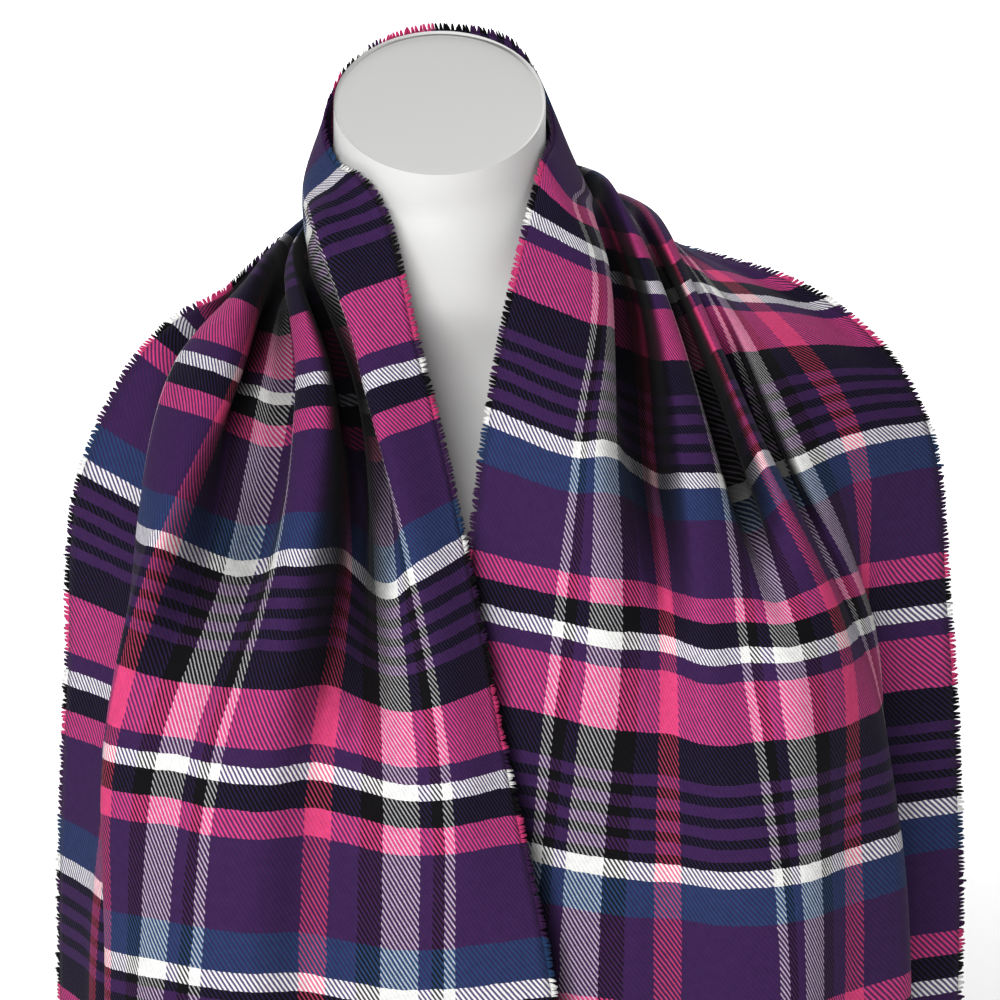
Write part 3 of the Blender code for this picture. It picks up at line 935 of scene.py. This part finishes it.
def yarn_ends(name, roots, outward, sideways, flat, settings, material, seed):
    """Loose cut yarn ends: a bent, tapering three-sided spike on each root.

    Neighbours stand in clumps, which share their lean and draw together at the tips.
    """
    chance = np.random.default_rng(seed)
    count = len(roots)
    out = outward / np.linalg.norm(outward, axis=1, keepdims=True)
    side = sideways / np.linalg.norm(sideways, axis=1, keepdims=True)
    up = np.cross(out, side)
    clump = np.arange(count) // CLUMP
    clumps = (clump[-1] + 1, 1)
    apart = settings.spacing / MM * (np.arange(count) % CLUMP - (CLUMP - 1) / 2)
    length = settings.length / MM * chance.uniform(*END_LENGTHS, (count, 1))
    lean = chance.normal(0.0, END_LEAN, clumps)[clump]
    lean = lean - apart[:, None] / length * CLUMP_PULL
    lift = chance.normal(0.0, END_LIFT, clumps)[clump]
    thick = settings.thickness / MM * chance.uniform(*END_THICKNESSES, (count, 1))
    first = out + side * lean + up * lift
    second = out + side * lean * LEAN_BEND + up * lift * LIFT_BEND
    start = roots - out * ROOT_DEPTH
    middle = start + first * length * MIDDLE_SHARE
    tip = middle + second * length * TIP_SHARE
    rings = []
    for centre, scale in zip((start, middle, tip), END_SCALES):
        for turn in END_TURNS:
            spoke = side * np.cos(turn) + up * np.sin(turn)
            rings.append(centre + spoke * thick * scale)
    verts = np.stack(rings, axis=1).reshape(-1, 3)
    sides = len(END_TURNS)
    pattern = [(2, 1, 0), (6, 7, 8)]
    for i, j in ((0, 1), (1, 2), (2, 0)):
        for low in (0, sides):
            pattern.append((i + low, j + low, j + low + sides, i + low + sides))
    firsts = range(0, count * len(rings), len(rings))
    faces = [tuple(first + k for k in face) for first in firsts for face in pattern]
    mesh = bpy.data.meshes.new(name)
    mesh.from_pydata((verts * MM).tolist(), [], faces)
    set_uv(mesh, np.repeat(flat, len(rings), axis=0) * MM)
    piece = add_piece(name, mesh, material)
    bpy.ops.object.mode_set(mode="EDIT")
    bpy.ops.mesh.select_all(action="SELECT")
    bpy.ops.mesh.normals_make_consistent(inside=False)
    bpy.ops.object.mode_set(mode="OBJECT")
    bpy.ops.object.shade_smooth()
    return piece


class SCARF_OT_fringe(bpy.types.Operator):
    """Add the short cut yarn ends along all four edges"""

    bl_idname = "scarf.fringe"
    bl_label = "Eyelash fringe"

    def execute(self, context):
        settings = context.scene.scarf_fringe
        colours = yarn_colours(context.scene.scarf_cloth)
        weft = plaid_material("weft_ends", colours, "weft")
        warp = plaid_material("warp_ends", colours, "warp")
        step = settings.spacing / MM
        lengths = np.arange(LEFT_HEM + FRINGE_INSET, RIGHT_HEM - FRINGE_INSET, step)
        sides = (
            ("scarf_fringe_inner", 0.0, -1.0, INNER_FRINGE_NODES, 11),
            ("scarf_fringe_outer", WIDTH, 1.0, OUTER_FRINGE_NODES, 12),
        )
        for name, edge, way, nodes, seed in sides:
            points, _, _ = dressed_points(lengths, [edge, edge - way * SLOPE_STEP])
            roots = points[:, 0]
            outward = roots - points[:, 1]
            sideways = np.gradient(roots, axis=0)
            flat = np.stack([np.full_like(lengths, edge), lengths], axis=-1)
            piece = yarn_ends(name, roots, outward, sideways, flat, settings, weft, seed)
            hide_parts(*nodes)
            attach(piece, BODY)
        warps = np.arange(FRINGE_INSET, WIDTH - FRINGE_INSET, step)
        parts = []
        for end, way in ((LEFT_HEM, -1.0), (RIGHT_HEM, 1.0)):
            points, _, across = dressed_points([end, end - way * SLOPE_STEP], warps)
            flat = np.stack([warps, np.full_like(warps, end)], axis=-1)
            parts.append((points[0], points[0] - points[1], across[0], flat))
        roots, outward, sideways, flat = (np.concatenate(group) for group in zip(*parts))
        name = "scarf_fringe_ends"
        piece = yarn_ends(name, roots, outward, sideways, flat, settings, warp, 13)
        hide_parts(*END_FRINGE_NODES)
        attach(piece, BODY)
        return {"FINISHED"}


def form_ring(row, sides):
    """The points of one section of the dress form, in millimetres."""
    turns = np.arange(sides) * 2 * np.pi / sides
    power = 2.0 / row["squareness"]
    side = np.cos(turns)
    depth = np.sin(turns)
    across = row["centre_x"] + row["half_width"] * np.sign(side) * np.abs(side) ** power
    reach = np.where(depth > 0, row["back"], row["front"])
    back = reach * np.sign(depth) * np.abs(depth) ** power
    rise = np.clip((row["height"] - TILT_FROM) / (TILT_TO - TILT_FROM), 0.0, 1.0)
    height = row["height"] + back * CAP_TILT * rise * rise * (3 - 2 * rise)
    return np.stack([across, back, height], axis=1)


def set_ring(verts, points):
    """Move a ring of vertices, taken by their turn about its centre, onto a section."""
    centre = np.mean([vert.co for vert in verts], axis=0)

    def turn(vert):
        angle = np.arctan2(vert.co.y - centre[1], vert.co.x - centre[0])
        return (angle + 1e-4) % (2 * np.pi)

    for vert, point in zip(sorted(verts, key=turn), points):
        vert.co = point * MM


class SCARF_OT_dress_form(bpy.types.Operator):
    """Loft the smooth dress form with its tilted neck cap"""

    bl_idname = "scarf.dress_form"
    bl_label = "Dress form"

    def execute(self, context):
        settings = context.scene.scarf_form
        table = np.array(FORM, float)
        top = FORM[-1][0] - RIM_DROP
        heights = [*np.arange(0.0, top, FORM_STEP), top]
        rows = rows_by_name(FORM_COLUMNS, hermite(table[:, 0], table, heights))
        deselect()
        bpy.ops.mesh.primitive_circle_add(vertices=settings.sides, radius=0.1)
        piece = context.object
        piece.name = "form_body"
        piece.data.name = "form_body"
        bpy.ops.object.mode_set(mode="EDIT")
        bpy.ops.mesh.select_all(action="SELECT")
        mesh = bmesh.from_edit_mesh(piece.data)
        set_ring(list(mesh.verts), form_ring(rows[0], settings.sides))
        bmesh.update_edit_mesh(piece.data)
        for row in rows[1:]:
            bpy.ops.mesh.extrude_region_move()
            mesh = bmesh.from_edit_mesh(piece.data)
            lifted = [vert for vert in mesh.verts if vert.select]
            set_ring(lifted, form_ring(row, settings.sides))
            bmesh.update_edit_mesh(piece.data)
        bpy.ops.mesh.edge_face_add()
        for inward, upward in RIM_STEPS:
            bpy.ops.mesh.inset(thickness=inward * MM, depth=upward * MM)
        close_underside(piece)
        finish_form(piece, settings)
        return {"FINISHED"}


def close_underside(piece):
    """Close the flat underside and face everything outward."""
    bpy.ops.mesh.select_all(action="DESELECT")
    mesh = bmesh.from_edit_mesh(piece.data)
    for edge in mesh.edges:
        edge.select = edge.is_boundary
    bmesh.update_edit_mesh(piece.data)
    bpy.ops.mesh.edge_face_add()
    bpy.ops.mesh.select_all(action="SELECT")
    bpy.ops.mesh.normals_make_consistent(inside=False)
    bpy.ops.object.mode_set(mode="OBJECT")


def finish_form(piece, settings):
    """Materials, smoothing and the frame's own data for the dress form."""
    looks = (
        ("moulded_white", settings.shell, SHELL_ROUGHNESS, FORM_PAINTED_SHADE_POWER),
        ("cap_grey", settings.cap, CAP_ROUGHNESS, 0.0),
    )
    for name, colour, roughness, power in looks:
        material = moulded_material(name, tuple(colour), roughness, power)
        piece.data.materials.append(material)
    for face in piece.data.polygons:
        capped = len(face.vertices) > 4 and face.center.z > CAP_ABOVE
        face.material_index = 1 if capped else 0
    bpy.ops.object.shade_smooth_by_angle(angle=SMOOTH_ANGLE)
    # Open air before the form, free of the cloth, which sets its painted shade
    lengths = np.arange(LEFT_HEM, RIGHT_HEM + 1.0, FORM_AIR_STEP)
    warps = np.arange(0.0, WIDTH + 1.0, FORM_AIR_STEP)
    cloth, _, _ = dressed_points(lengths, warps)
    points = [vert.co / MM for vert in piece.data.vertices]
    normals = [vert.normal.copy() for vert in piece.data.vertices]
    keep_air(piece.data, open_air(cloth_tree(cloth), points, normals))
    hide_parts(FORM_NODE)
    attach(piece, BODY)


def look_at(thing, target):
    """Turn a lamp towards a point."""
    way = np.array(target, float) - np.array(thing.location, float)
    tilt = np.arctan2(np.hypot(way[0], way[1]), -way[2])
    thing.rotation_euler = (tilt, 0.0, np.arctan2(-way[0], way[1]))


def add_lamp(name, spot, target, size, power):
    """One large soft lamp."""
    lamp = bpy.data.lights.new(name, "AREA")
    lamp.shape = "RECTANGLE"
    lamp.size = size[0]
    lamp.size_y = size[1]
    lamp.energy = power
    thing = bpy.data.objects.new(name, lamp)
    thing.location = spot
    look_at(thing, target)
    bpy.context.scene.collection.objects.link(thing)


class SCARF_OT_stage(bpy.types.Operator):
    """Set the floor, the soft lights and the camera"""

    bl_idname = "scarf.stage"
    bl_label = "Stage"

    def execute(self, context):
        settings = context.scene.scarf_stage
        deselect()
        bpy.ops.mesh.primitive_plane_add(size=settings.floor_size, location=(0.0, 0.0, 0.0))
        floor = context.object
        floor.name = "floor"
        graph = Graph("floor_paint")
        graph.set_input("Base Color", tuple(settings.floor))
        graph.set_input("Roughness", FLOOR_ROUGHNESS)
        floor.data.materials.append(graph.material)

        world = bpy.data.worlds.new("studio_air")
        world.use_nodes = True
        air = world.node_tree.nodes["Background"].inputs
        air["Color"].default_value = (1.0, 1.0, 1.0, 1.0)
        air["Strength"].default_value = settings.air
        context.scene.world = world

        for name, spot, target, size, share in LAMPS:
            add_lamp(name, spot, target, size, settings.key_power * share)

        camera = bpy.data.cameras.new("photo_camera")
        camera.lens = CAMERA_LENS
        camera.sensor_width = CAMERA_WIDTH
        camera.clip_end = CAMERA_REACH
        viewer = bpy.data.objects.new("photo_camera", camera)
        viewer.location = CAMERA_PLACE
        viewer.rotation_euler = (np.radians(CAMERA_TILT), 0.0, 0.0)
        context.scene.collection.objects.link(viewer)
        context.scene.camera = viewer
        context.scene.view_settings.view_transform = "Standard"
        return {"FINISHED"}


class SCARF_PT_panel(bpy.types.Panel):
    """Sizes, colours and steps of the scarf"""

    bl_idname = "SCARF_PT_panel"
    bl_label = "Plaid scarf"
    bl_space_type = "VIEW_3D"
    bl_region_type = "UI"
    bl_category = "Scarf"

    def draw(self, context):
        scene = context.scene
        boxes = (
            ("scarf.cloth", scene.scarf_cloth, ("wall", "row_step", "column_step", *YARNS)),
            ("scarf.fringe", scene.scarf_fringe, ("length", "spacing", "thickness")),
            ("scarf.dress_form", scene.scarf_form, ("sides", "shell", "cap")),
            ("scarf.stage", scene.scarf_stage, ("floor", "floor_size", "key_power", "air")),
        )
        for step, group, names in boxes:
            box = self.layout.box()
            for name in names:
                box.prop(group, name)
            box.operator(step)


CLASSES = (
    ScarfCloth,
    ScarfFringe,
    ScarfForm,
    ScarfStage,
    SCARF_OT_cloth,
    SCARF_OT_fringe,
    SCARF_OT_dress_form,
    SCARF_OT_stage,
    SCARF_PT_panel,
)


def register():
    """Add the settings, steps and panel."""
    for made in CLASSES:
        bpy.utils.register_class(made)
    bpy.types.Scene.scarf_cloth = bpy.props.PointerProperty(type=ScarfCloth)
    bpy.types.Scene.scarf_fringe = bpy.props.PointerProperty(type=ScarfFringe)
    bpy.types.Scene.scarf_form = bpy.props.PointerProperty(type=ScarfForm)
    bpy.types.Scene.scarf_stage = bpy.props.PointerProperty(type=ScarfStage)


def unregister():
    """Take the settings, steps and panel away again."""
    del bpy.types.Scene.scarf_stage
    del bpy.types.Scene.scarf_form
    del bpy.types.Scene.scarf_fringe
    del bpy.types.Scene.scarf_cloth
    for made in reversed(CLASSES):
        bpy.utils.unregister_class(made)


def main():
    """Build the stage, the form and the scarf."""
    register()
    bpy.ops.scarf.stage()
    bpy.ops.scarf.dress_form()
    bpy.ops.scarf.cloth()
    bpy.ops.scarf.fringe()


if __name__ == "__main__":
    main()
